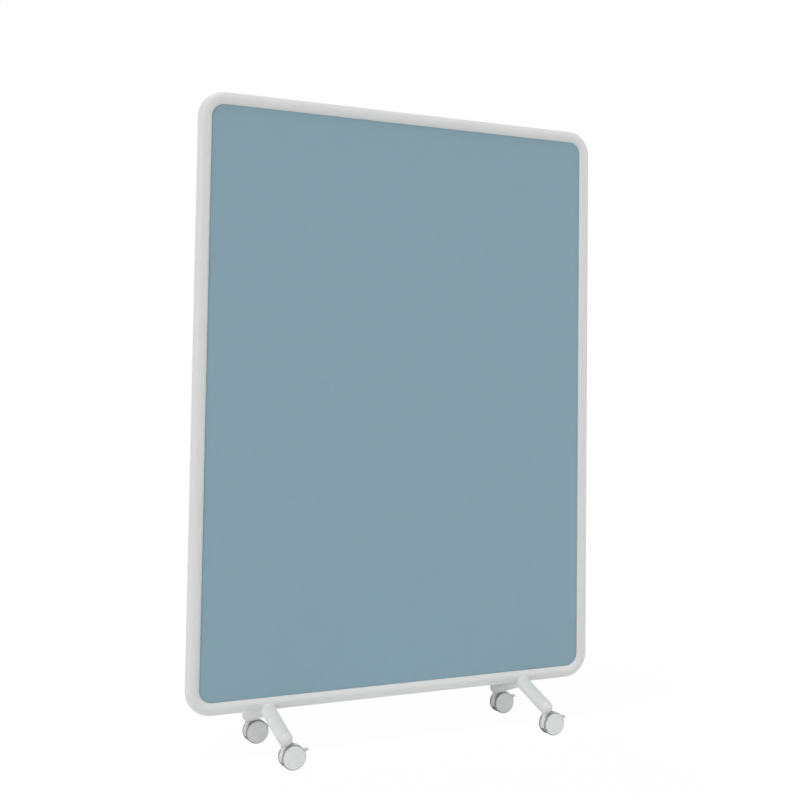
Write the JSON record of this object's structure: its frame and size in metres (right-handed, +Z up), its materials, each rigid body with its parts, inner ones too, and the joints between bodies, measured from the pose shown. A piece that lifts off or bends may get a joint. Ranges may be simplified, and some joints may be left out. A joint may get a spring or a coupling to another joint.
{
  "type": "rolling partition",
  "caption": "Free-standing office screen: a blue-grey cloth panel in a round white tube frame with rounded corners, on splayed tube feet with braked twin-wheel castors.",
  "frame": {"origin": "on the floor under the middle of the partition", "axes": "+X along the width, -Y towards the front cover, +Z up"},
  "size_m": [1.148, 0.336, 1.6865],
  "materials": {
    "frame_paint": "satin powder coat, off-white",
    "screw_paint": "off-white painted button heads",
    "cloth": "plain woven acoustic cloth, blue-grey, matte",
    "core_board": "fibre board core",
    "castor_plastic": "off-white moulded nylon",
    "wheel_plastic": "light grey moulded wheel",
    "tread": "grey soft tread",
    "steel": "zinc plated steel"
  },
  "bodies": {
    "stand": {"upper_frame": "frame_paint", "lower_frame": "frame_paint", "left_sleeve": "steel", "right_sleeve": "steel", "sleeve_screws": "screw_paint", "panel_core": "core_board", "front_cover": "cloth", "rear_cover": "cloth", "panel_pins": "steel", "front_left_leg": "frame_paint", "front_left_leg_end": "frame_paint", "front_left_castor_stem": "steel", "rear_left_leg": "frame_paint", "rear_left_leg_end": "frame_paint", "rear_left_castor_stem": "steel", "front_right_leg": "frame_paint", "front_right_leg_end": "frame_paint", "front_right_castor_stem": "steel", "rear_right_leg": "frame_paint", "rear_right_leg_end": "frame_paint", "rear_right_castor_stem": "steel"},
    "front_left_castor": {"front_left_castor_housing": "castor_plastic", "front_left_axle": "steel", "front_left_brake_pin": "steel"},
    "front_left_inner_wheel_set": {"front_left_inner_wheel": "wheel_plastic", "front_left_inner_tread": "tread"},
    "front_left_outer_wheel_set": {"front_left_outer_wheel": "wheel_plastic", "front_left_outer_tread": "tread"},
    "front_left_brake": {"front_left_brake_lever": "castor_plastic"},
    "rear_left_castor": {"rear_left_castor_housing": "castor_plastic", "rear_left_axle": "steel", "rear_left_brake_pin": "steel"},
    "rear_left_inner_wheel_set": {"rear_left_inner_wheel": "wheel_plastic", "rear_left_inner_tread": "tread"},
    "rear_left_outer_wheel_set": {"rear_left_outer_wheel": "wheel_plastic", "rear_left_outer_tread": "tread"},
    "rear_left_brake": {"rear_left_brake_lever": "castor_plastic"},
    "front_right_castor": {"front_right_castor_housing": "castor_plastic", "front_right_axle": "steel", "front_right_brake_pin": "steel"},
    "front_right_inner_wheel_set": {"front_right_inner_wheel": "wheel_plastic", "front_right_inner_tread": "tread"},
    "front_right_outer_wheel_set": {"front_right_outer_wheel": "wheel_plastic", "front_right_outer_tread": "tread"},
    "front_right_brake": {"front_right_brake_lever": "castor_plastic"},
    "rear_right_castor": {"rear_right_castor_housing": "castor_plastic", "rear_right_axle": "steel", "rear_right_brake_pin": "steel"},
    "rear_right_inner_wheel_set": {"rear_right_inner_wheel": "wheel_plastic", "rear_right_inner_tread": "tread"},
    "rear_right_outer_wheel_set": {"rear_right_outer_wheel": "wheel_plastic", "rear_right_outer_tread": "tread"},
    "rear_right_brake": {"rear_right_brake_lever": "castor_plastic"}
  },
  "joints": [
    {"name": "front_left_swivel", "type": "hinge", "parent": "stand", "child": "front_left_castor", "pos_m": [-0.365, -0.147, 0.0585], "axis": [0, 0, 1], "continuous": true},
    {"name": "front_left_inner_wheel_spin", "type": "hinge", "parent": "front_left_castor", "child": "front_left_inner_wheel_set", "pos_m": [-0.347, -0.132, 0.03], "axis": [0, 1, 0], "continuous": true},
    {"name": "front_left_outer_wheel_spin", "type": "hinge", "parent": "front_left_castor", "child": "front_left_outer_wheel_set", "pos_m": [-0.347, -0.162, 0.03], "axis": [0, 1, 0], "continuous": true},
    {"name": "front_left_brake_press", "type": "hinge", "parent": "front_left_castor", "child": "front_left_brake", "pos_m": [-0.33724, -0.147, 0.05192], "axis": [0, 1, 0], "range_deg": [0, 12]},
    {"name": "rear_left_swivel", "type": "hinge", "parent": "stand", "child": "rear_left_castor", "pos_m": [-0.365, 0.147, 0.0585], "axis": [0, 0, 1], "continuous": true},
    {"name": "rear_left_inner_wheel_spin", "type": "hinge", "parent": "rear_left_castor", "child": "rear_left_inner_wheel_set", "pos_m": [-0.347, 0.132, 0.03], "axis": [0, 1, 0], "continuous": true},
    {"name": "rear_left_outer_wheel_spin", "type": "hinge", "parent": "rear_left_castor", "child": "rear_left_outer_wheel_set", "pos_m": [-0.347, 0.162, 0.03], "axis": [0, 1, 0], "continuous": true},
    {"name": "rear_left_brake_press", "type": "hinge", "parent": "rear_left_castor", "child": "rear_left_brake", "pos_m": [-0.33724, 0.147, 0.05192], "axis": [0, 1, 0], "range_deg": [0, 12]},
    {"name": "front_right_swivel", "type": "hinge", "parent": "stand", "child": "front_right_castor", "pos_m": [0.365, -0.147, 0.0585], "axis": [0, 0, 1], "continuous": true},
    {"name": "front_right_inner_wheel_spin", "type": "hinge", "parent": "front_right_castor", "child": "front_right_inner_wheel_set", "pos_m": [0.383, -0.132, 0.03], "axis": [0, 1, 0], "continuous": true},
    {"name": "front_right_outer_wheel_spin", "type": "hinge", "parent": "front_right_castor", "child": "front_right_outer_wheel_set", "pos_m": [0.383, -0.162, 0.03], "axis": [0, 1, 0], "continuous": true},
    {"name": "front_right_brake_press", "type": "hinge", "parent": "front_right_castor", "child": "front_right_brake", "pos_m": [0.39276, -0.147, 0.05192], "axis": [0, 1, 0], "range_deg": [0, 12]},
    {"name": "rear_right_swivel", "type": "hinge", "parent": "stand", "child": "rear_right_castor", "pos_m": [0.365, 0.147, 0.0585], "axis": [0, 0, 1], "continuous": true},
    {"name": "rear_right_inner_wheel_spin", "type": "hinge", "parent": "rear_right_castor", "child": "rear_right_inner_wheel_set", "pos_m": [0.383, 0.132, 0.03], "axis": [0, 1, 0], "continuous": true},
    {"name": "rear_right_outer_wheel_spin", "type": "hinge", "parent": "rear_right_castor", "child": "rear_right_outer_wheel_set", "pos_m": [0.383, 0.162, 0.03], "axis": [0, 1, 0], "continuous": true},
    {"name": "rear_right_brake_press", "type": "hinge", "parent": "rear_right_castor", "child": "rear_right_brake", "pos_m": [0.39276, 0.147, 0.05192], "axis": [0, 1, 0], "range_deg": [0, 12]}
  ]
}
